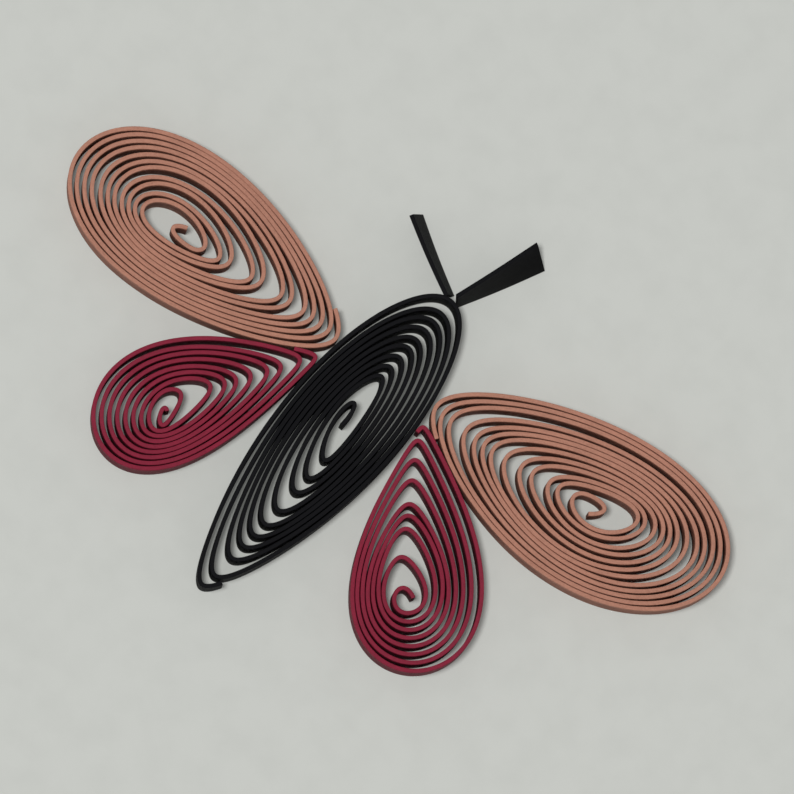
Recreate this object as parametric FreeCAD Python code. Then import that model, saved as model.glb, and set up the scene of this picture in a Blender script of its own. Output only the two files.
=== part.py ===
import FreeCAD, Part
import math
import os

# Quilled paper butterfly, in millimetres. Every coil is one strip of paper stood on
# edge, rolled up, let loose and pinched into a petal, with its turns gathered against
# one flank. z = 0 is the glued back, and +Y runs along the body to the head.

# Paper and glue
stripWidth = 1.5
paperThickness = 0.12
turnAir = 0.034
glueGap = 0.03
tipGap = 0.1

# Length of each coil, and the reach of its left and right flanks from the line
# through its two ends, looking from the pinched tip to the far end
bodyLength = 12.4
bodyLeft = 1.99
bodyRight = 1.93
upperLeftLength = 10.4
upperLeftLeft = 2.4
upperLeftRight = 2.57
upperRightLength = 10.85
upperRightLeft = 2.5
upperRightRight = 2.95
lowerLeftLength = 7.65
lowerLeftLeft = 1.82
lowerLeftRight = 2.2
lowerRightLength = 8.05
lowerRightLeft = 2.2
lowerRightRight = 2.15

# Where each pinched wing tip meets the body, measured from the tail
upperLeftStation = 8.85
upperRightStation = 9.34
lowerLeftStation = 7.95
lowerRightStation = 8.55

# Antennae: length along the card, heading from the body's axis and lean at the far end
leftAntennaLength = 2.85
leftAntennaHeading = 62.0
leftAntennaLean = -13.0
rightAntennaLength = 3.1
rightAntennaHeading = -26.0
rightAntennaLean = -36.0
antennaSpread = 0.24

# Coil shape: how blunt the outer tip, the far end and the innermost tip are, how late the
# tips turn blunt on the way in (roundPower), how hard the tip is pinched, the share of the
# width that is packed paper, the packed turns' spacing at the far end in times the pitch,
# the size of the open eye, the share of the free width on the right flank and of the free
# length at the tip, how far the inner turns' tips drift to the left, and the part of a
# turn after which the strip turns into the eye. The gap lists deal out the free room,
# turn by turn from the outside.
bodyCoil = {
    "tipRound": 0.1,
    "endRound": 0.55,
    "innerRound": 0.77,
    "roundPower": 1.87,
    "pinch": 0.5,
    "packing": 0.93,
    "endSpacing": 2.41,
    "eyeLength": 2.89,
    "eyeWidth": 0.62,
    "rightShare": 0.32,
    "tipShare": 0.8,
    "drift": -0.35,
    "endPhase": 0.2,
    "tipGaps": [0.1, 2.9, 0.8, 0.3, 0.2, 0.3, 1.9, 3.3, 0.6, 2.7],
    "endGaps": [3.6, 0, 0, 1.4, 0.3, 0, 1.9, 1.1, 0.9, 0],
    "leftGaps": [3.9, 0, 0.3, 0.2, 0, 1, 0.5, 0.3, 0, 0],
    "rightGaps": [0, 0.6, 0, 0.6, 1.5, 0.8, 0.7, 0.2, 0.4, 0.1],
}
upperLeftCoil = {
    "tipRound": 0.16,
    "endRound": 3.0,
    "innerRound": 0.4,
    "roundPower": 2.0,
    "pinch": 0.5,
    "packing": 0.88,
    "endSpacing": 1.7,
    "eyeLength": 2.1,
    "eyeWidth": 0.8,
    "rightShare": 0.85,
    "tipShare": 0.93,
    "drift": 0.0,
    "endPhase": 0.1,
    "tipGaps": [0, 0, 0, 0, 0.7, 0, 1.5, 0, 1.8, 0, 0.9],
    "endGaps": [0, 0, 0, 1, 0, 0, 0.6, 0, 0, 0, 0],
    "leftGaps": [0.5, 0.5, 0.5, 0.5, 0, 0, 0, 0.5, 0.5, 1.5, 0],
    "rightGaps": [0, 0, 0, 0, 0.3, 0, 1.4, 0.2, 1.6, 0.2, 0.6],
}
upperRightCoil = {
    "tipRound": 0.12,
    "endRound": 3.0,
    "innerRound": 0.4,
    "roundPower": 2.0,
    "pinch": 0.37,
    "packing": 0.85,
    "endSpacing": 1.7,
    "eyeLength": 1.9,
    "eyeWidth": 0.9,
    "rightShare": 0.55,
    "tipShare": 0.8,
    "drift": -0.3,
    "endPhase": 0.1,
    "tipGaps": [0, 0, 1.6, 0, 0, 0, 2, 0, 1.8, 0, 1.2],
    "endGaps": [0, 0, 0, 0, 1.2, 0, 0, 0, 1, 0, 0],
    "leftGaps": [0, 0, 1.6, 0, 0, 0, 0.3, 0, 0.4, 0, 0],
    "rightGaps": [0, 0, 0, 0, 0, 0, 1.4, 0, 1, 0, 0.4],
}
lowerLeftCoil = {
    "tipRound": 0.05,
    "endRound": 3.0,
    "innerRound": 0.45,
    "roundPower": 1.41,
    "pinch": 0.65,
    "packing": 0.81,
    "endSpacing": 1.62,
    "eyeLength": 1.0,
    "eyeWidth": 0.71,
    "rightShare": 0.79,
    "tipShare": 1.0,
    "drift": -0.5,
    "endPhase": 0.36,
    "tipGaps": [0.4, 1.6, 0.1, 0.7, 1.1, 0, 0, 0.6, 3],
    "endGaps": [0, 0.3, 0, 0.1, 0, 0.2, 0, 0, 1.3],
    "leftGaps": [0, 0.7, 0.1, 0, 0, 0, 0.1, 1, 1],
    "rightGaps": [2.5, 0.4, 0.1, 1.5, 0, 0.7, 0.7, 0.7, 0.7],
}
lowerRightCoil = {
    "tipRound": 0.05,
    "endRound": 3.0,
    "innerRound": 0.4,
    "roundPower": 1.72,
    "pinch": 0.67,
    "packing": 0.73,
    "endSpacing": 1.73,
    "eyeLength": 1.8,
    "eyeWidth": 1.2,
    "rightShare": 0.04,
    "tipShare": 1.0,
    "drift": -0.13,
    "endPhase": 0.49,
    "tipGaps": [0.1, 1.1, 0, 2.4, 0, 0, 0.3, 1.9],
    "endGaps": [0, 0.1, 0.4, 0, 0, 0, 1.6, 1.7],
    "leftGaps": [3.4, 2.2, 0.4, 3, 0, 0.8, 1.5, 2.8],
    "rightGaps": [1.1, 0, 0, 0, 0, 0.7, 0.4, 0],
}

pitch = paperThickness + turnAir
tipSlack = 1.25         # turns bend round the tip a little wider than they would lie
driftAtFlank = 0.8      # part of a tip's drift that still shows at the flanks
endStep = 0.005         # part of a turn by which the glued outer end is sought
stationsPerTurn = 26
antennaRuns = 4
peakSamples = 60
seatingSteps = 120      # points round an outline when wings are seated
swingStart = 75.0       # a wing swings between these angles from the body's axis
swingEnd = 170.0
swingHalvings = 14
crossingTurn = 0.32     # part of a turn over which the inner end crosses the eye
eyeClearance = 3        # turn spacings between the inner end's tip and the far wall
tipCrowding = 0.4       # stations crowd towards the tip by this much


def petal(angle, tipRound, endRound, pinch):
    """Half-width of a petal at this angle round it: 0 at the tip and at the far end."""
    tipTerm = (math.sin(angle / 2) ** 2 + 2 * tipRound) ** pinch
    endTerm = math.sqrt(math.cos(angle / 2) ** 2 + 2 * endRound)
    return math.sin(angle) * tipTerm * endTerm


def petalShare(angle, tipRound, endRound, pinch):
    """The petal's half-width as a share of its widest."""
    samples = [math.pi * i / peakSamples for i in range(peakSamples)]
    widest = max(petal(sample, tipRound, endRound, pinch) for sample in samples)
    return petal(angle, tipRound, endRound, pinch) / widest


def tipStep(coil):
    """Packed turns' spacing along the axis at the tip, where they lie aslant."""
    angle = math.pi / 3
    along = coil["length"] * (1 - math.cos(angle)) / 2
    share = petalShare(angle, coil["tipRound"], coil["endRound"], coil["pinch"])
    across = (coil["left"] + coil["right"]) / 2 * share
    return tipSlack * pitch * math.hypot(along, across) / across


def steppedOffsets(count, packed, free, gaps):
    """Running offset of each turn: packed spacing plus its part of the free room. The
    part turn in the eye follows at packed spacing."""
    places = [turn * len(gaps) / count for turn in range(count + 1)]
    offsets = [turn * packed + free * dealt(gaps, place) for turn, place in enumerate(places)]
    return offsets + [offsets[-1] + packed]


def dealt(gaps, place):
    """Share of the free room that the list of gaps has dealt out by this place in it."""
    whole = int(place)
    here = sum(gaps[whole:whole + 1]) * (place - whole)
    return (sum(gaps[:whole]) + here) / sum(gaps)


def offsetAt(offsets, turn):
    """Offset at any point between two whole turns, smooth and always growing."""
    last = len(offsets) - 1
    turn = min(max(turn, 0.0), last)
    k = min(int(turn), last - 1)
    part = turn - k
    step = offsets[k + 1] - offsets[k]
    before = offsets[k] - offsets[k - 1] if k > 0 else step
    after = offsets[k + 2] - offsets[k + 1] if k + 2 <= last else step
    slopeIn = 2 * before * step / (before + step)
    slopeOut = 2 * step * after / (step + after)
    rise = step * (3 * part ** 2 - 2 * part ** 3)
    enter = slopeIn * (part ** 3 - 2 * part ** 2 + part)
    leave = slopeOut * (part ** 3 - part ** 2)
    return offsets[k] + rise + enter + leave


def windCoil(length, left, right, shape):
    """All that fixes one coil's path: its outline, turn count and four offset lists."""
    coil = dict(shape)
    coil["length"] = length - paperThickness
    coil["left"] = left - paperThickness / 2
    coil["right"] = right - paperThickness / 2
    width = coil["left"] + coil["right"] - coil["eyeWidth"]
    atTip = tipStep(coil)
    atBend = pitch * coil["endSpacing"]
    roomForTurns = coil["length"] - coil["eyeLength"]
    count = int(min(coil["packing"] * width / 2 / pitch, roomForTurns / (atTip + atBend)))
    freeLength = roomForTurns - count * (atTip + atBend)
    leftPitch = pitch + max(coil["drift"], 0) * driftAtFlank / count
    rightPitch = pitch + max(-coil["drift"], 0) * driftAtFlank / count
    freeWidth = width - count * (leftPitch + rightPitch)
    rightShare = coil["rightShare"]
    tipShare = coil["tipShare"]
    coil["turns"] = count + coil["endPhase"]
    coil["tipOffsets"] = steppedOffsets(count, atTip, freeLength * tipShare, coil["tipGaps"])
    coil["endOffsets"] = steppedOffsets(count, atBend, freeLength * (1 - tipShare), coil["endGaps"])
    freeRight = freeWidth * rightShare
    coil["leftOffsets"] = steppedOffsets(count, leftPitch, freeWidth - freeRight, coil["leftGaps"])
    coil["rightOffsets"] = steppedOffsets(count, rightPitch, freeRight, coil["rightGaps"])
    return coil


def loopPoint(coil, turn, angle):
    """Point at an angle round the petal that belongs to this turn of the coil."""
    tipEnd = offsetAt(coil["tipOffsets"], turn)
    farEnd = coil["length"] - offsetAt(coil["endOffsets"], turn - 0.5)
    leftIn = offsetAt(coil["leftOffsets"], turn - 0.25)
    rightIn = offsetAt(coil["rightOffsets"], turn - 0.75)
    inward = max(turn, 0.0) / coil["turns"]
    growth = inward ** coil["roundPower"]
    tipRound = coil["tipRound"] + (coil["innerRound"] - coil["tipRound"]) * growth
    share = petalShare(angle, tipRound, coil["endRound"], coil["pinch"])
    x = tipEnd + (farEnd - tipEnd) * (1 - math.cos(angle)) / 2
    bow = (coil["left"] - coil["right"]) / 2 * math.sin(angle) ** 2
    drift = coil["drift"] * inward * ((1 + math.cos(angle)) / 2) ** 2
    middle = bow + drift + (rightIn - leftIn) / 2
    y = middle + (coil["left"] + coil["right"] - leftIn - rightIn) / 2 * share
    return x, y


def roundPetal(turn):
    """Angle round the petal at this turn, with the stations crowded towards the tip."""
    angle = 2 * math.pi * turn
    return angle - tipCrowding * math.sin(angle)


def gluedEnd(coil):
    """Turn at which the strip's outer end, past the tip, meets the turn inside it."""
    turn = -endStep
    while airInside(coil, turn) > 0:
        turn -= endStep
    return turn


def airInside(coil, turn):
    """Air between one point of a turn and the next turn in, beyond the usual air."""
    here = loopPoint(coil, turn, roundPetal(turn))
    before = loopPoint(coil, turn + 1 - endStep, roundPetal(turn + 1 - endStep))
    after = loopPoint(coil, turn + 1 + endStep, roundPetal(turn + 1 + endStep))
    run = (after[0] - before[0], after[1] - before[1])
    across = (here[0] - before[0]) * run[1] - (here[1] - before[1]) * run[0]
    return abs(across) / math.hypot(run[0], run[1]) - pitch


def coilPath(coil):
    """Centre line of the strip from its glued outer end to the crimp in the eye."""
    start = gluedEnd(coil)
    steps = int((coil["turns"] - start) * stationsPerTurn)
    turns = [start + i / stationsPerTurn for i in range(steps)] + [coil["turns"]]
    return [loopPoint(coil, turn, roundPetal(turn)) for turn in turns] + crossing(coil)


def eyeCentre(coil):
    """Middle of the eye: half-way between its ends, and half-way between its flanks."""
    ends = [loopPoint(coil, coil["turns"], angle)[0] for angle in (0, math.pi)]
    flanks = [loopPoint(coil, coil["turns"], angle)[1] for angle in (math.pi / 2, 1.5 * math.pi)]
    return sum(ends) / 2, sum(flanks) / 2


def crossing(coil):
    """The strip's inner end, which leaves the innermost turn and crosses the eye."""
    turns = coil["turns"]
    centreX, centreY = eyeCentre(coil)
    reach = 1 - eyeClearance * pitch / coil["eyeWidth"]
    steps = int(crossingTurn * stationsPerTurn) + 1
    points = []
    for i in range(1, steps + 1):
        part = i / steps
        x, y = loopPoint(coil, turns, roundPetal(turns + crossingTurn * part))
        scale = 1 - (1 + reach) * part ** 2
        points.append((centreX + scale * (x - centreX), centreY + scale * (y - centreY)))
    return points


def turned(points, degrees, origin):
    """Points swung about zero and then carried to an origin."""
    c = math.cos(math.radians(degrees))
    s = math.sin(math.radians(degrees))
    return [(origin[0] + c * x - s * y, origin[1] + s * x + c * y) for x, y in points]


def outline(coil):
    """Closed outer turn of a coil, finely stepped, for seating it on its neighbours."""
    start = gluedEnd(coil)
    turns = [start + i / seatingSteps for i in range(seatingSteps)]
    return [loopPoint(coil, turn, roundPetal(turn)) for turn in turns]


def segmentDistance(point, start, end):
    """Distance from a point to a straight segment."""
    along = (end[0] - start[0], end[1] - start[1])
    reach = (point[0] - start[0]) * along[0] + (point[1] - start[1]) * along[1]
    part = min(max(reach / (along[0] ** 2 + along[1] ** 2), 0.0), 1.0)
    return math.dist(point, (start[0] + part * along[0], start[1] + part * along[1]))


def holds(shape, point):
    """True where the point lies inside the closed outline."""
    inside = False
    for a, b in zip(shape, shape[1:] + shape[:1]):
        if (a[1] > point[1]) != (b[1] > point[1]):
            inside ^= point[0] < a[0] + (point[1] - a[1]) * (b[0] - a[0]) / (b[1] - a[1])
    return inside


def clearance(first, second):
    """Air between two coils' outer turns, below zero where they overlap."""
    if any(holds(second, point) for point in first):
        return -1.0
    sides = list(zip(second, second[1:] + second[:1]))
    nearest = min(segmentDistance(point, a, b) for point in first for a, b in sides)
    return nearest - paperThickness


def flankPoint(shape, station, side):
    """Point of a standing body's outline at this height on its left (-1) or right (1)."""
    for a, b in zip(shape, shape[1:] + shape[:1]):
        if a[0] * side > 0 and (a[1] - station) * (b[1] - station) <= 0:
            part = (station - a[1]) / (b[1] - a[1])
            return a[0] + part * (b[0] - a[0]), station
    raise ValueError("no flank at this station")


def seatWing(wing, bodyOutline, station, side, neighbours):
    """Tip and heading of a wing swung tailwards until it rests on a neighbour."""
    flank = flankPoint(bodyOutline, station, side)
    tip = (flank[0] + side * (paperThickness + tipGap), station)
    shape = outline(wing)
    clear = swingStart
    stopped = swingEnd
    for _ in range(swingHalvings):
        middle = (clear + stopped) / 2
        placed = turned(shape, sideHeading(middle, side), tip)
        if min(clearance(placed, other) for other in neighbours) > glueGap:
            clear = middle
        else:
            stopped = middle
    return tip, sideHeading(clear, side)


def sideHeading(angle, side):
    """Heading from the X axis of a wing swung by an angle back from the body's axis."""
    return 90 - side * angle


def stripSolid(path):
    """A strip of paper on edge along a path of short straight runs."""
    near = wallPoints(path, -paperThickness / 2)
    far = wallPoints(path, paperThickness / 2)
    rim = Part.Face(Part.makePolygon(near + far[::-1] + near[:1]))
    return rim.extrude(FreeCAD.Vector(0, 0, stripWidth))


def wallPoints(path, offset):
    """Corners of one face of the strip, mitred so that it stays as thick at every bend."""
    normals = [sideways(a, b) for a, b in zip(path, path[1:])]
    points = []
    for point, before, after in zip(path, normals[:1] + normals, normals + normals[-1:]):
        mitre = offset / (1 + before.dot(after))
        corner = (before + after) * mitre
        points.append(FreeCAD.Vector(point[0] + corner.x, point[1] + corner.y, 0))
    return points


def sideways(start, end):
    """Unit vector square to a run of the path, to its left."""
    run = FreeCAD.Vector(start[1] - end[1], end[0] - start[0], 0)
    return run.normalize()


def antennaSolid(length, heading, lean, root):
    """A short strip that stands upright at the head and leans over towards its far end."""
    angle = math.radians(heading)
    ahead = FreeCAD.Vector(math.cos(angle), math.sin(angle), 0)
    side = FreeCAD.Vector(-math.sin(angle), math.cos(angle), 0)
    foot = FreeCAD.Vector(root[0], root[1], 0)
    steps = [i / antennaRuns for i in range(antennaRuns + 1)]
    sections = [leaningEnd(foot + ahead * length * step, side, lean * step) for step in steps]
    corners = [sections[0][::-1], sections[-1]]
    for first, second in zip(sections, sections[1:]):
        for k in (1, 2, 3):
            corners.append([first[k - 1], first[k], second[k]])
            corners.append([first[k - 1], second[k], second[k - 1]])
        corners.append([first[3], first[0], second[3]])
        corners.append([first[0], second[0], second[3]])
    faces = [Part.Face(Part.makePolygon(face + face[:1])) for face in corners]
    return Part.Solid(Part.Shell(faces))


def leaningEnd(foot, side, lean):
    """Corners across a strip that leans to one side with its lower edge on the card."""
    angle = math.radians(lean)
    across = side * math.cos(angle) + FreeCAD.Vector(0, 0, math.sin(angle))
    up = FreeCAD.Vector(0, 0, math.cos(angle)) - side * math.sin(angle)
    half = across * (paperThickness / 2)
    base = foot + FreeCAD.Vector(0, 0, abs(half.z))
    top = base + up * stripWidth
    return [base - half, base + half, top + half, top - half]


def antennaRoot(headTop, side, heading):
    """Foot of an antenna just clear of the head, to one side of its middle."""
    corner = paperThickness / 2 * abs(math.cos(math.radians(heading)))
    return side * antennaSpread / 2, headTop + paperThickness / 2 + glueGap + corner


def buildButterfly():
    """All seven pieces, with the body's tail at zero and its head up the Y axis."""
    body = windCoil(bodyLength, bodyLeft, bodyRight, bodyCoil)
    bodyOutline = turned(outline(body), 90, (0, 0))
    pieces = {"body_coil": stripSolid(turned(coilPath(body), 90, (0, 0)))}
    for name, side, upper, lower in wingPairs:
        rests = [bodyOutline]
        for place, sizes in (("lower", lower), ("upper", upper)):
            length, left, right, shape, station = sizes
            wing = windCoil(length, left, right, shape)
            tip, heading = seatWing(wing, bodyOutline, station, side, rests)
            pieces[place + "_wing_" + name] = stripSolid(turned(coilPath(wing), heading, tip))
            rests.append(turned(outline(wing), heading, tip))
    headTop = body["length"]
    left = 90 + leftAntennaHeading
    right = 90 + rightAntennaHeading
    leftRoot = antennaRoot(headTop, -1, left)
    rightRoot = antennaRoot(headTop, 1, right)
    pieces["antenna_left"] = antennaSolid(leftAntennaLength, left, leftAntennaLean, leftRoot)
    pieces["antenna_right"] = antennaSolid(rightAntennaLength, right, rightAntennaLean, rightRoot)
    return pieces


def footprintCentre(pieces):
    """Middle of the whole butterfly's footprint, which is the origin."""
    box = FreeCAD.BoundBox()
    for shape in pieces.values():
        box.add(shape.optimalBoundingBox(False, False))
    return FreeCAD.Vector((box.XMin + box.XMax) / 2, (box.YMin + box.YMax) / 2, 0)


wingPairs = [
    (
        "left",
        -1,
        (upperLeftLength, upperLeftLeft, upperLeftRight, upperLeftCoil, upperLeftStation),
        (lowerLeftLength, lowerLeftLeft, lowerLeftRight, lowerLeftCoil, lowerLeftStation),
    ),
    (
        "right",
        1,
        (upperRightLength, upperRightLeft, upperRightRight, upperRightCoil, upperRightStation),
        (lowerRightLength, lowerRightLeft, lowerRightRight, lowerRightCoil, lowerRightStation),
    ),
]

os.makedirs("parts", exist_ok=True)
butterfly = buildButterfly()
origin = footprintCentre(butterfly)
for node, solid in butterfly.items():
    solid.translate(-origin)
    solid.exportStep("parts/" + node + ".step")
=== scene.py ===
import bpy
import math
import numpy as np
from mathutils import Matrix, Vector


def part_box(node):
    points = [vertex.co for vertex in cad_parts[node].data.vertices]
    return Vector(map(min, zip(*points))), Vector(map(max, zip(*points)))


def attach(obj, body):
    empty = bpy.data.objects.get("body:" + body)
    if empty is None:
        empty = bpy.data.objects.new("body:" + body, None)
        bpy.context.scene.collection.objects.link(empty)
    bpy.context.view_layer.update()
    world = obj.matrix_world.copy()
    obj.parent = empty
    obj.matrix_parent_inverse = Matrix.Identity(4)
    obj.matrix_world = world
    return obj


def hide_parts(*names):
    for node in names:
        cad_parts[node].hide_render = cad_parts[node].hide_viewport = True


# Quilled paper butterfly: five coils of paper strip stood on edge and two short
# antennae. Sizes are in millimetres here, and become metres as each mesh is made.
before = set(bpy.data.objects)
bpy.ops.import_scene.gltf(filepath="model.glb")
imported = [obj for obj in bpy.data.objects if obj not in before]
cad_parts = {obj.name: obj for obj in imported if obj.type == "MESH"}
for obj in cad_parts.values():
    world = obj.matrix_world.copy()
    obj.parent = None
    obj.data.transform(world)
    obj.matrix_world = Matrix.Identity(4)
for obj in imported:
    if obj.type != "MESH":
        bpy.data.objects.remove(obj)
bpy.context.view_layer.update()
millimetre = 0.001

strip = {
    "thickness": 0.12,
    "swollen": 0.14,       # thickness with the fibres that stand off the faces
    "width": 1.5,
    "pitch": 0.154,        # from one packed turn to the next
    "topRound": 0.026,     # rounding of the cut edge on top
    "footRound": 0.012,
    "crease": 50,          # degrees from which a bend between faces stays sharp
    "mapScale": 0.1,       # the map's units in a millimetre of paper
    "stations": 168,       # per turn
    "peakSamples": 60,     # points at which a petal's widest place is sought
    "tipCrowding": 0.4,    # stations crowd towards the tip by this much
    "tipSlack": 1.25,      # turns bend round the tip wider than they would lie
    "driftAtFlank": 0.8,   # part of a tip's drift that still shows at the flanks
    "crossingTurn": 0.32,  # part of a turn over which the inner end crosses the eye
    "eyeClearance": 3,     # turn spacings between the inner end's tip and the far wall
    "dip": 0.075,          # how far the cut edge may sink below its full height
    "dipWaves": ((0.55, 2.6), (0.45, 9.0)),   # share and wavelength of each wave in it
    "sway": 0.007,         # how far a turn may stray to either side
    "swayWave": 1.9,
}


def petal(angle, tipRound, endRound, pinch):
    # half-width round the petal: the sine of the angle, narrowed towards the tip and the
    # far end by how blunt each is
    tipTerm = (np.sin(angle / 2) ** 2 + 2 * tipRound) ** pinch
    endTerm = np.sqrt(np.cos(angle / 2) ** 2 + 2 * endRound)
    return np.sin(angle) * tipTerm * endTerm


def petalShare(angle, tipRound, shape):
    # the half-width as a share of its widest value over half a turn
    samples = np.linspace(0, math.pi, strip["peakSamples"], endpoint=False)[None, :]
    widest = petal(samples, tipRound[:, None], shape["endRound"], shape["pinch"]).max(axis=1)
    return petal(angle, tipRound, shape["endRound"], shape["pinch"]) / widest


def steppedOffsets(count, packed, free, gaps):
    # running offset of each turn: packed spacing plus its part of the free room, which
    # the list of gaps deals out from the outside turn to the inside one
    dealt = np.concatenate([[0.0], np.cumsum(gaps)]) / np.sum(gaps)
    turns = np.arange(count + 1)
    places = turns * len(gaps) / count
    offsets = turns * packed + free * np.interp(places, np.arange(len(gaps) + 1), dealt)
    return np.append(offsets, offsets[-1] + packed)


def offsetAt(offsets, turn):
    # cubic through the running offsets with harmonic-mean slopes, so it always grows
    steps = np.diff(offsets)
    turn = np.clip(turn, 0, len(steps))
    k = np.minimum(turn.astype(int), len(steps) - 1)
    part = turn - k
    step = steps[k]
    before = steps[np.maximum(k - 1, 0)]
    after = steps[np.minimum(k + 1, len(steps) - 1)]
    rise = step * (3 * part**2 - 2 * part**3)
    enter = 2 * before * step / (before + step) * (part**3 - 2 * part**2 + part)
    leave = 2 * step * after / (step + after) * (part**3 - part**2)
    return offsets[k] + rise + enter + leave


def windCoil(shape):
    # the coil's outline, number of turns, and how far each turn lies inside the outline
    # at the tip, the far end and the two flanks
    coil = dict(shape)
    thickness, pitch = strip["thickness"], strip["pitch"]
    coil["length"] -= thickness
    coil["left"] -= thickness / 2
    coil["right"] -= thickness / 2
    width = coil["left"] + coil["right"] - coil["eyeWidth"]
    count = int(coil["packing"] * width / 2 / pitch)
    nearTip = math.pi / 3
    along = coil["length"] * (1 - math.cos(nearTip)) / 2
    shareThere = petalShare(np.array([nearTip]), np.array([coil["tipRound"]]), coil)[0]
    across = (coil["left"] + coil["right"]) / 2 * shareThere
    atTip = strip["tipSlack"] * pitch * math.hypot(along, across) / across
    atBend = pitch * coil["endSpacing"]
    freeLength = coil["length"] - coil["eyeLength"] - count * (atTip + atBend)
    leftPitch = pitch + max(coil["drift"], 0) * strip["driftAtFlank"] / count
    rightPitch = pitch + max(-coil["drift"], 0) * strip["driftAtFlank"] / count
    freeWidth = width - count * (leftPitch + rightPitch)
    freeTip = freeLength * coil["tipShare"]
    freeRight = freeWidth * coil["rightShare"]
    coil["turns"] = count + coil["endPhase"]
    coil["tipOffsets"] = steppedOffsets(count, atTip, freeTip, coil["tipGaps"])
    coil["endOffsets"] = steppedOffsets(count, atBend, freeLength - freeTip, coil["endGaps"])
    coil["leftOffsets"] = steppedOffsets(count, leftPitch, freeWidth - freeRight, coil["leftGaps"])
    coil["rightOffsets"] = steppedOffsets(count, rightPitch, freeRight, coil["rightGaps"])
    return coil


def loopPoints(coil, turn, angle):
    # along the axis: half a cosine between the turn's tip and its far end; across it: the
    # petal's half-width, bowed towards the wider flank and drifted at the inner tips. A
    # turn passes the left flank a quarter of the way round from its tip, the far end
    # half-way and the right flank at three quarters.
    tipEnd = offsetAt(coil["tipOffsets"], turn)
    farEnd = coil["length"] - offsetAt(coil["endOffsets"], turn - 0.5)
    leftIn = offsetAt(coil["leftOffsets"], turn - 0.25)
    rightIn = offsetAt(coil["rightOffsets"], turn - 0.75)
    inward = np.maximum(turn, 0) / coil["turns"]
    growth = inward ** coil["roundPower"]
    tipRound = coil["tipRound"] + (coil["innerRound"] - coil["tipRound"]) * growth
    share = petalShare(angle, tipRound, coil)
    x = tipEnd + (farEnd - tipEnd) * (1 - np.cos(angle)) / 2
    bow = (coil["left"] - coil["right"]) / 2 * np.sin(angle) ** 2
    drift = coil["drift"] * inward * ((1 + np.cos(angle)) / 2) ** 2
    middle = bow + drift + (rightIn - leftIn) / 2
    y = middle + (coil["left"] + coil["right"] - leftIn - rightIn) / 2 * share
    return np.stack([x, y], axis=1)


def roundPetal(turn):
    # angle round the petal, with the stations crowded towards the tip
    angle = 2 * math.pi * turn
    return angle - strip["tipCrowding"] * np.sin(angle)


def coilPath(coil):
    # the strip's centre line: the nested turns from the glued outer end inwards, and then
    # the inner end, which follows the next turn while a scale that falls with the square
    # of the way run draws it through the eye's middle to the other side
    turns = coil["turns"]
    count = int((turns - coil["outerEnd"]) * strip["stations"])
    wound = np.linspace(coil["outerEnd"], turns, count)
    nested = loopPoints(coil, wound, roundPetal(wound))
    eye = loopPoints(coil, np.full(4, turns), np.array([0, 0.5, 1, 1.5]) * math.pi)
    centre = np.array([eye[::2, 0].mean(), eye[1::2, 1].mean()])
    reach = 1 - strip["eyeClearance"] * strip["pitch"] / coil["eyeWidth"]
    steps = int(strip["crossingTurn"] * strip["stations"])
    part = np.linspace(0, 1, steps + 1)[1:]
    inner = turns + strip["crossingTurn"] * part
    scale = 1 - (1 + reach) * part**2
    crossing = centre + scale[:, None] * (loopPoints(coil, inner, roundPetal(inner)) - centre)
    return np.concatenate([nested, crossing])


def smoothNoise(along, wavelength, rng):
    # random heights one wavelength apart, joined by cosine curves, between -1 and 1
    place = along / wavelength
    k = place.astype(int)
    heights = rng.uniform(-1, 1, k.max() + 2)
    part = (1 - np.cos(math.pi * (place - k))) / 2
    return heights[k] * (1 - part) + heights[k + 1] * part


def stripProfile(thickness, topRound, footRound):
    # once round the strip's section, over the cut edge from right to left and back under:
    # each point's offset to the left, the share of the height that it takes, its fixed
    # drop, and 1 on the cut edge; four quarter circles joined by straight sides
    topSteps, footSteps = 5, 3
    downSide = [0.67, 0.33]
    half = thickness / 2
    bend = np.linspace(0, math.pi / 2, topSteps)
    across = half - topRound + topRound * np.cos(bend)
    right = np.stack([across, -topRound + topRound * np.sin(bend)], axis=1)
    left = right[::-1] * [-1, 1]
    bend = np.linspace(0, math.pi / 2, footSteps)
    across = -half + footRound - footRound * np.cos(bend)
    leftFoot = np.stack([across, footRound - footRound * np.sin(bend)], axis=1)
    rightFoot = leftFoot[::-1] * [-1, 1]
    leftSide = np.array([[-half, 0]] * 2)
    ring = np.concatenate([right, left, leftSide, leftFoot, rightFoot, leftSide * [-1, 1]])
    onTop = np.ones(2 * topSteps)
    share = np.concatenate([onTop, downSide, np.zeros(2 * footSteps), downSide[::-1]])
    edge = np.concatenate([onTop, np.zeros(len(ring) - len(onTop))])
    return ring[:, 0], share, ring[:, 1], edge


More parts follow.
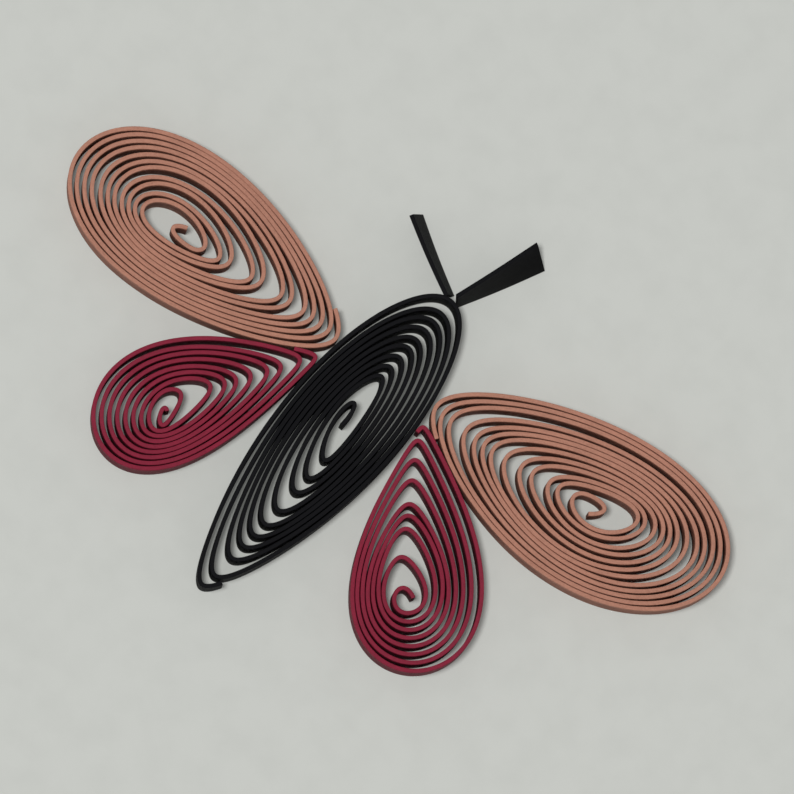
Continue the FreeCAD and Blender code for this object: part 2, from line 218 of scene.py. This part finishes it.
def carryProfile(name, centre, acrossX, acrossZ, upX, height, lift, lengths, profile):
    # each section is the profile laid in the plane of two directions, across the strip
    # and up its width, at one point of the path; the sections are joined by quads
    offset, share, drop, edge = profile
    ringSize = len(offset)
    rise = share[None, :] * height[:, None] + drop[None, :]
    points = np.zeros((len(centre), ringSize, 3))
    points[:, :, :2] = centre[:, None, :] + offset[None, :, None] * acrossX[:, None, :]
    points[:, :, :2] += rise[:, :, None] * upX[:, None, :]
    upZ = np.sqrt(1 - (upX**2).sum(axis=1))
    points[:, :, 2] = lift[:, None] + offset[None, :] * acrossZ[:, None] + rise * upZ[:, None]
    i, k = np.meshgrid(np.arange(len(centre) - 1), np.arange(ringSize), indexing="ij")
    after = (k + 1) % ringSize
    corners = [(i, k), (i, after), (i + 1, after), (i + 1, k)]
    quads = np.stack([row * ringSize + column for row, column in corners], axis=2).reshape(-1, 4)
    first = list(range(ringSize))[::-1]
    last = [(len(centre) - 1) * ringSize + column for column in range(ringSize)]
    mesh = bpy.data.meshes.new(name)
    vertices = points.reshape(-1, 3) * millimetre
    mesh.from_pydata(vertices.tolist(), [], quads.tolist() + [first, last])
    # the map runs with the strip's length one way and round its section the other
    section = np.stack([offset, share * strip["width"] + drop], axis=1)
    sides = np.linalg.norm(np.diff(section, axis=0, append=section[:1]), axis=1)
    girth = np.concatenate([[0], np.cumsum(sides)])
    u = np.stack([lengths[i], lengths[i], lengths[i + 1], lengths[i + 1]], axis=2)
    v = np.stack([girth[k], girth[k + 1], girth[k + 1], girth[k]], axis=2)
    quadMap = np.stack([u, v], axis=3).reshape(-1, 2)
    caps = np.zeros((2 * ringSize, 2))
    caps[:, 1] = np.tile(girth[:-1], 2)
    stripMap = (np.concatenate([quadMap, caps]) * strip["mapScale"]).astype(np.float32)
    uvLayer = mesh.uv_layers.new(name="stripMap")
    uvLayer.data.foreach_set("uv", stripMap.ravel())
    cutEdge = mesh.attributes.new("cutEdge", "FLOAT", "POINT")
    cutEdge.data.foreach_set("value", np.tile(edge, len(centre)).astype(np.float32))
    mesh.shade_smooth()
    mesh.set_sharp_from_angle(angle=math.radians(strip["crease"]))
    piece = bpy.data.objects.new(name, mesh)
    bpy.context.scene.collection.objects.link(piece)
    return piece


def squareOff(path):
    # unit vectors square to the path, to its left, and the length run at each point
    run = np.gradient(path, axis=0)
    run /= np.linalg.norm(run, axis=1)[:, None]
    steps = np.linalg.norm(np.diff(path, axis=0), axis=1)
    return np.stack([-run[:, 1], run[:, 0]], axis=1), np.concatenate([[0], np.cumsum(steps)])


def swing(points, degrees):
    # points turned about zero, anticlockwise as seen from above
    c, s = math.cos(math.radians(degrees)), math.sin(math.radians(degrees))
    return points @ np.array([[c, s], [-s, c]])


def dressCoil(shape, finish):
    # winds one coil, sets it where its solid stands, and gives it its paper
    coil = windCoil(shape)
    path = swing(coilPath(coil), shape["heading"])
    rng = np.random.default_rng(shape["seed"])
    left, lengths = squareOff(path)
    stray = strip["sway"] * smoothNoise(lengths, strip["swayWave"], rng)
    path = path + left * stray[:, None]
    left, lengths = squareOff(path)
    wave = np.zeros(len(path))
    for share, wavelength in strip["dipWaves"]:
        wave += share * smoothNoise(lengths, wavelength, rng)
    height = strip["width"] - strip["dip"] * (1 + wave) / 2
    low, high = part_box(shape["node"])
    middle = np.array([low.x + high.x, low.y + high.y]) / 2 / millimetre
    half = strip["thickness"] / 2
    walls = np.concatenate([path + left * half, path - left * half])
    path = path + middle - (walls.min(axis=0) + walls.max(axis=0)) / 2
    profile = stripProfile(strip["swollen"], strip["topRound"], strip["footRound"])
    flat = np.zeros(len(path))
    piece = carryProfile(
        shape["piece"], path, left, flat, np.zeros_like(path), height, flat, lengths, profile
    )
    piece.data.materials.append(finish)
    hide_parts(shape["node"])
    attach(piece, "root")
    turns, stripLength = round(coil["turns"], 2), round(lengths[-1], 1)
    print(shape["piece"], "wound:", turns, "turns,", stripLength, "mm of strip")


def inLinear(red, green, blue):
    # screen colour from 0 to 255 to the linear colour that a shader takes, by sRGB's curve
    channels = np.array([red, green, blue]) / 255
    curve = ((channels + 0.055) / 1.055) ** 2.4
    return tuple(np.where(channels > 0.04045, curve, channels / 12.92)) + (1,)


def addNoise(tree, place, scale, detail, roughness=0.5):
    # fractal noise between 0 and 1, with this many cells to each unit of the place
    noise = tree.nodes.new("ShaderNodeTexNoise")
    noise.inputs["Scale"].default_value = scale
    noise.inputs["Detail"].default_value = detail
    noise.inputs["Roughness"].default_value = roughness
    tree.links.new(place, noise.inputs["Vector"])
    return noise.outputs["Fac"]


def addMath(tree, operation, first, second):
    # one sum, product or maximum of two links
    node = tree.nodes.new("ShaderNodeMath")
    node.operation = operation
    tree.links.new(first, node.inputs[0])
    tree.links.new(second, node.inputs[1])
    return node.outputs["Value"]


def addRamp(tree, value, low, lowColour, high, highColour):
    # straight blend from one screen colour to another between two values
    ramp = tree.nodes.new("ShaderNodeValToRGB")
    for stop, place, colour in zip(ramp.color_ramp.elements, (low, high), (lowColour, highColour)):
        stop.position = place
        stop.color = inLinear(*colour)
    tree.links.new(value, ramp.inputs["Fac"])
    return ramp.outputs["Color"]


def addMix(tree, share, first, second):
    # blend from a linked colour to a screen colour by a linked share
    mix = tree.nodes.new("ShaderNodeMix")
    mix.data_type = "RGBA"
    mix.inputs["B"].default_value = inLinear(*second)
    tree.links.new(share, mix.inputs["Factor"])
    tree.links.new(first, mix.inputs["A"])
    return mix.outputs["Result"]


def addRange(tree, value, fromLow, fromHigh, toLow, toHigh):
    # the value's range carried over to another, and held at its ends
    spread = tree.nodes.new("ShaderNodeMapRange")
    spread.inputs["From Min"].default_value = fromLow
    spread.inputs["From Max"].default_value = fromHigh
    spread.inputs["To Min"].default_value = toLow
    spread.inputs["To Max"].default_value = toHigh
    tree.links.new(value, spread.inputs["Value"])
    return spread.outputs["Result"]


paper = {
    "fibreScale": (28, 240, 1),    # cells along and across a unit of the strip's map
    "fibreDetail": (5, 0.65),
    "fibreRange": (0.3, 0.72),     # values of the noise that give the dark and pale dye
    "cloudScale": 1100,            # cells in a metre
    "cloudDetail": 3,
    "cloudRange": (0.4, 0.7),
    "grainScale": 16000,
    "grainDetail": (4, 0.7),
    "reliefDepth": 0.02,           # millimetres
}


def quillingPaper(name, look):
    # dyed paper: fibres that run with the strip, a cloudy tint, and a painted highlight that makes
    # the cut edge paler
    material = bpy.data.materials.new(name)
    material.use_nodes = True
    tree = material.node_tree
    nodes, links = tree.nodes, tree.links
    shader = nodes["Principled BSDF"]
    shader.inputs["Specular IOR Level"].default_value = look["gloss"]
    where = nodes.new("ShaderNodeTexCoord")
    lengthways = nodes.new("ShaderNodeMapping")
    lengthways.inputs["Scale"].default_value = paper["fibreScale"]
    links.new(where.outputs["UV"], lengthways.inputs["Vector"])
    fibres = addNoise(tree, lengthways.outputs["Vector"], 1, *paper["fibreDetail"])
    tint = addNoise(tree, where.outputs["Object"], paper["cloudScale"], paper["cloudDetail"])
    grain = addNoise(tree, where.outputs["Object"], paper["grainScale"], *paper["grainDetail"])
    # the dye: darker and paler fibres, then the cloudy tint over them
    low, high = paper["fibreRange"]
    dye = addRamp(tree, fibres, low, look["dark"], high, look["pale"])
    cloudShare = addRange(tree, tint, *paper["cloudRange"], 0, look["cloud"])
    cloud = addMix(tree, cloudShare, dye, look["dark"])
    # painted highlight: the cut edge on top is made paler in grainy flecks, in place of the light
    # that catches it
    edge = nodes.new("ShaderNodeAttribute")
    edge.attribute_name = "cutEdge"
    edgeHighlightShare = addMath(tree, "MULTIPLY", edge.outputs["Fac"], grain)
    links.new(addMix(tree, edgeHighlightShare, cloud, look["edge"]), shader.inputs["Base Color"])
    dull = addRange(tree, grain, 0, 1, look["smooth"], look["rough"])
    links.new(dull, shader.inputs["Roughness"])
    bump = nodes.new("ShaderNodeBump")
    bump.inputs["Strength"].default_value = look["relief"]
    bump.inputs["Distance"].default_value = paper["reliefDepth"] * millimetre
    links.new(addMath(tree, "ADD", fibres, grain), bump.inputs["Height"])
    links.new(bump.outputs["Normal"], shader.inputs["Normal"])
    return material


# each paper's "edge" colour is the painted highlight on the top cut edge
tanPaper = quillingPaper("tanPaper", {
    "dark": (121, 76, 61), "pale": (180, 122, 101), "edge": (195, 142, 121),
    "cloud": 0.55, "gloss": 0.25, "smooth": 0.58, "rough": 0.9, "relief": 0.85,
})
redPaper = quillingPaper("redPaper", {
    "dark": (78, 5, 20), "pale": (127, 19, 46), "edge": (149, 40, 65),
    "cloud": 0.55, "gloss": 0.22, "smooth": 0.55, "rough": 0.88, "relief": 0.85,
})
blackPaper = quillingPaper("blackPaper", {
    "dark": (4, 4, 5), "pale": (13, 13, 15), "edge": (21, 21, 24),
    "cloud": 0.55, "gloss": 0.09, "smooth": 0.57, "rough": 0.88, "relief": 0.85,
})
print("papers mixed")

# A coil is wound along its own X axis, from the tip to the far end, and then turned by its
# heading, in degrees. length, left and right give its outline. tipRound, endRound and
# innerRound say how blunt the outer tip, the far end and the innermost tip are, roundPower
# how late the tips change on the way in, and pinch how strongly the petal narrows towards
# its tip. packing is the part of the room that packed turns fill; the eye's size, the two
# shares and the lists of gaps, from the outside turn inwards, deal out the rest. outerEnd
# and endPhase are the parts of a turn at which the nested turns start and stop, and drift
# is how far the inner tips lie off the axis.
body = {
    "piece": "bodyCoil", "node": "body_coil", "slot": "black_paper", "seed": 3,
    "heading": 90.0, "length": 12.4, "left": 1.99, "right": 1.93,
    "outerEnd": -0.1,
    "tipRound": 0.1, "endRound": 0.55, "innerRound": 0.77, "roundPower": 1.87,
    "pinch": 0.5, "packing": 0.93, "endSpacing": 2.41,
    "eyeLength": 2.89, "eyeWidth": 0.62, "rightShare": 0.32,
    "tipShare": 0.8, "drift": -0.35, "endPhase": 0.2,
    "tipGaps": [0.1, 2.9, 0.8, 0.3, 0.2, 0.3, 1.9, 3.3, 0.6, 2.7],
    "endGaps": [3.6, 0, 0, 1.4, 0.3, 0, 1.9, 1.1, 0.9, 0],
    "leftGaps": [3.9, 0, 0.3, 0.2, 0, 1, 0.5, 0.3, 0, 0],
    "rightGaps": [0, 0.6, 0, 0.6, 1.5, 0.8, 0.7, 0.2, 0.4, 0.1],
}
dressCoil(body, blackPaper)

upperLeftWing = {
    "piece": "upperLeftWing", "node": "upper_wing_left", "slot": "tan_paper", "seed": 11,
    "heading": 185.26, "length": 10.4, "left": 2.4, "right": 2.57,
    "outerEnd": -0.12,
    "tipRound": 0.16, "endRound": 3.0, "innerRound": 0.4, "roundPower": 2.0, "pinch": 0.5,
    "packing": 0.88, "endSpacing": 1.7, "eyeLength": 2.1, "eyeWidth": 0.8,
    "rightShare": 0.85, "tipShare": 0.93, "drift": 0.0, "endPhase": 0.1,
    "tipGaps": [0, 0, 0, 0, 0.7, 0, 1.5, 0, 1.8, 0, 0.9],
    "endGaps": [0, 0, 0, 1, 0, 0, 0.6, 0, 0, 0, 0],
    "leftGaps": [0.5, 0.5, 0.5, 0.5, 0, 0, 0, 0.5, 0.5, 1.5, 0],
    "rightGaps": [0, 0, 0, 0, 0.3, 0, 1.4, 0.2, 1.6, 0.2, 0.6],
}
dressCoil(upperLeftWing, tanPaper)

upperRightWing = {
    "piece": "upperRightWing", "node": "upper_wing_right", "slot": "tan_paper", "seed": 17,
    "heading": 10.53, "length": 10.85, "left": 2.5, "right": 2.95,
    "outerEnd": -0.115,
    "tipRound": 0.12, "endRound": 3.0, "innerRound": 0.4, "roundPower": 2.0, "pinch": 0.37,
    "packing": 0.85, "endSpacing": 1.7, "eyeLength": 1.9, "eyeWidth": 0.9,
    "rightShare": 0.55, "tipShare": 0.8, "drift": -0.3, "endPhase": 0.1,
    "tipGaps": [0, 0, 1.6, 0, 0, 0, 2, 0, 1.8, 0, 1.2],
    "endGaps": [0, 0, 0, 0, 1.2, 0, 0, 0, 1, 0, 0],
    "leftGaps": [0, 0, 1.6, 0, 0, 0, 0.3, 0, 0.4, 0, 0],
    "rightGaps": [0, 0, 0, 0, 0, 0, 1.4, 0, 1, 0, 0.4],
}
dressCoil(upperRightWing, tanPaper)

lowerLeftWing = {
    "piece": "lowerLeftWing", "node": "lower_wing_left", "slot": "red_paper", "seed": 23,
    "heading": 241.14, "length": 7.65, "left": 1.82, "right": 2.2,
    "outerEnd": -0.135,
    "tipRound": 0.05, "endRound": 3.0, "innerRound": 0.45, "roundPower": 1.41,
    "pinch": 0.65, "packing": 0.81, "endSpacing": 1.62,
    "eyeLength": 1.0, "eyeWidth": 0.71, "rightShare": 0.79,
    "tipShare": 1.0, "drift": -0.5, "endPhase": 0.36,
    "tipGaps": [0.4, 1.6, 0.1, 0.7, 1.1, 0, 0, 0.6, 3],
    "endGaps": [0, 0.3, 0, 0.1, 0, 0.2, 0, 0, 1.3],
    "leftGaps": [0, 0.7, 0.1, 0, 0, 0, 0.1, 1, 1],
    "rightGaps": [2.5, 0.4, 0.1, 1.5, 0, 0.7, 0.7, 0.7, 0.7],
}
dressCoil(lowerLeftWing, redPaper)

lowerRightWing = {
    "piece": "lowerRightWing", "node": "lower_wing_right", "slot": "red_paper", "seed": 29,
    "heading": -51.03, "length": 8.05, "left": 2.2, "right": 2.15,
    "outerEnd": -0.075,
    "tipRound": 0.05, "endRound": 3.0, "innerRound": 0.4, "roundPower": 1.72,
    "pinch": 0.67, "packing": 0.73, "endSpacing": 1.73,
    "eyeLength": 1.8, "eyeWidth": 1.2, "rightShare": 0.04,
    "tipShare": 1.0, "drift": -0.13, "endPhase": 0.49,
    "tipGaps": [0.1, 1.1, 0, 2.4, 0, 0, 0.3, 1.9],
    "endGaps": [0, 0.1, 0.4, 0, 0, 0, 1.6, 1.7],
    "leftGaps": [3.4, 2.2, 0.4, 3, 0, 0.8, 1.5, 2.8],
    "rightGaps": [1.1, 0, 0, 0, 0, 0.7, 0.4, 0],
}
dressCoil(lowerRightWing, redPaper)


def dressAntenna(antenna, finish):
    # the lean grows evenly from the head to the far end, and the lower edge stays on the
    # card; the solid's box says where the strip stands
    count = antenna["stations"]
    part = np.linspace(0, 1, count)
    heading = math.radians(antenna["heading"])
    ahead = np.array([math.cos(heading), math.sin(heading)])
    side = np.array([-math.sin(heading), math.cos(heading)])
    bend = antenna["bend"] * np.sin(math.pi * part)
    path = ahead * (antenna["length"] * part)[:, None] + side * bend[:, None]
    lean = np.radians(antenna["rootLean"] + (antenna["lean"] - antenna["rootLean"]) * part)
    across = side * np.cos(lean)[:, None]
    acrossZ = np.sin(lean)
    up = -side * np.sin(lean)[:, None]
    lift = np.abs(acrossZ) * strip["swollen"] / 2
    height = np.full(count, strip["width"] * antenna["tall"])
    profile = stripProfile(strip["swollen"], strip["topRound"], strip["footRound"])
    half = strip["thickness"] / 2
    feet = np.concatenate([path - across * half, path + across * half])
    reach = np.concatenate([feet, feet + np.tile(up * strip["width"], (2, 1))])
    low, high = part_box(antenna["node"])
    middle = np.array([low.x + high.x, low.y + high.y]) / 2 / millimetre
    path = path + middle - (reach.min(axis=0) + reach.max(axis=0)) / 2
    lengths = antenna["length"] * part
    piece = carryProfile(
        antenna["piece"], path, across, acrossZ, up, height, lift, lengths, profile
    )
    piece.data.materials.append(finish)
    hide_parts(antenna["node"])
    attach(piece, "root")
    print(antenna["piece"], "set")


# rootLean and lean are degrees from upright, at the head and at the far end; bend is how
# far the strip bows to one side, and tall its height as a share of the paper's width
leftAntenna = {
    "piece": "leftAntenna", "node": "antenna_left", "stations": 40,
    "length": 2.85, "heading": 152.0, "rootLean": -12.0, "lean": -17.0, "bend": 0.03,
    "tall": 0.99,
}
dressAntenna(leftAntenna, blackPaper)

rightAntenna = {
    "piece": "rightAntenna", "node": "antenna_right", "stations": 40,
    "length": 3.1, "heading": 64.0, "rootLean": -7.0, "lean": -31.0, "bend": -0.03,
    "tall": 0.99,
}
dressAntenna(rightAntenna, blackPaper)

card = {
    "reach": 0.6,          # metres each way from the middle
    "colour": (200, 202, 197),
    "fleck": (197, 199, 194),
    "fleckScale": 900,     # cells in a metre
    "fleckDetail": 3,
    "fleckRange": (0.3, 0.6),
    "roughness": 0.9,
    "gloss": 0.1,
    "ownLight": 0.18,      # share of its colour that shows to the camera without shade
}


def layCard(look):
    # a flat pale sheet that keeps the butterfly's shadow, while a painted glow in its own colour
    # shows to the camera without shade and brightens the shaded gaps between turns
    mesh = bpy.data.meshes.new("card")
    r = look["reach"]
    mesh.from_pydata([(-r, -r, 0), (r, -r, 0), (r, r, 0), (-r, r, 0)], [], [(0, 1, 2, 3)])
    sheet = bpy.data.objects.new("card", mesh)
    bpy.context.scene.collection.objects.link(sheet)
    material = bpy.data.materials.new("paleCard")
    material.use_nodes = True
    tree = material.node_tree
    nodes, links = tree.nodes, tree.links
    shader = nodes["Principled BSDF"]
    shader.inputs["Roughness"].default_value = look["roughness"]
    shader.inputs["Specular IOR Level"].default_value = look["gloss"]
    where = nodes.new("ShaderNodeTexCoord")
    fleck = addNoise(tree, where.outputs["Object"], look["fleckScale"], look["fleckDetail"])
    low, high = look["fleckRange"]
    tint = addRamp(tree, fleck, low, look["fleck"], high, look["colour"])
    links.new(tint, shader.inputs["Base Color"])
    # painted light: the card glows in its own colour to camera, glossy and transmission rays
    paintedGlow = nodes.new("ShaderNodeEmission")
    links.new(tint, paintedGlow.inputs["Color"])
    path = nodes.new("ShaderNodeLightPath").outputs
    seen = addMath(tree, "MAXIMUM", path["Is Camera Ray"], path["Is Glossy Ray"])
    seen = addMath(tree, "MAXIMUM", seen, path["Is Transmission Ray"])
    both = nodes.new("ShaderNodeMixShader")
    links.new(addRange(tree, seen, 0, 1, 0, look["ownLight"]), both.inputs["Fac"])
    links.new(shader.outputs["BSDF"], both.inputs[1])
    links.new(paintedGlow.outputs["Emission"], both.inputs[2])
    links.new(both.outputs["Shader"], nodes["Material Output"].inputs["Surface"])
    mesh.materials.append(material)


layCard(card)
print("card laid")

# Each "towards" is a direction in the photograph's own axes: right, up and out of it.
light = {
    "towards": (-0.14, -0.05, 1),
    "world": 0.30,         # share of the level that comes evenly from all round
    "key": 0.70,           # share from the large lamp beside the camera
    "distance": 0.45,      # metres
    "size": 0.07,
}
viewpoint = {
    "photoTurn": 41.1,     # degrees from the photograph's right-hand side to the part's X
    "towards": (-0.05, -0.10, 0.994),
    "aim": (0.607, 1.04, 0.75),    # millimetres in the part's frame
    "distance": 0.40,      # metres
    "across": 25.77,       # millimetres that the frame takes in
    "film": 36,            # millimetres
    "nearest": 0.01,       # metres
}


def fromPhoto(x, y, z):
    # a direction in the photograph's own axes, turned into the part's
    turn = math.radians(viewpoint["photoTurn"])
    c, s = math.cos(turn), math.sin(turn)
    return Vector((c * x - s * y, s * x + c * y, z)).normalized()


def aimed(position, target, up):
    # places something that looks along its own -Z at the target, its own +Y kept upward
    back = (position - target).normalized()
    right = up.cross(back).normalized()
    top = back.cross(right)
    turned = Matrix((right, top, back)).transposed().to_4x4()
    return Matrix.Translation(position) @ turned


scene = bpy.context.scene
target = Vector(viewpoint["aim"]) * millimetre
camera = bpy.data.objects.new("camera", bpy.data.cameras.new("camera"))
scene.collection.objects.link(camera)
cameraPlace = target + fromPhoto(*viewpoint["towards"]) * viewpoint["distance"]
camera.matrix_world = aimed(cameraPlace, target, fromPhoto(0, 1, 0))
camera.data.sensor_width = viewpoint["film"]
camera.data.lens = viewpoint["film"] * viewpoint["distance"] / (viewpoint["across"] * millimetre)
camera.data.clip_start = viewpoint["nearest"]
scene.camera = camera

lampData = bpy.data.lights.new("softLamp", "AREA")
lampData.shape = "DISK"
lampData.size = light["size"]
# at this power a white sheet under the lamp shows at the key's share of full white
lampData.energy = light["key"] * (math.pi * light["distance"]) ** 2
lamp = bpy.data.objects.new("softLamp", lampData)
scene.collection.objects.link(lamp)
lampPlace = target + fromPhoto(*light["towards"]) * light["distance"]
lamp.matrix_world = aimed(lampPlace, target, fromPhoto(0, 1, 0))

world = bpy.data.worlds.new("studio")
scene.world = world
world.use_nodes = True
sky = world.node_tree.nodes["Background"]
sky.inputs["Color"].default_value = (1, 1, 1, 1)
sky.inputs["Strength"].default_value = light["world"]
scene.view_settings.view_transform = "Standard"
print("camera and lamps set")
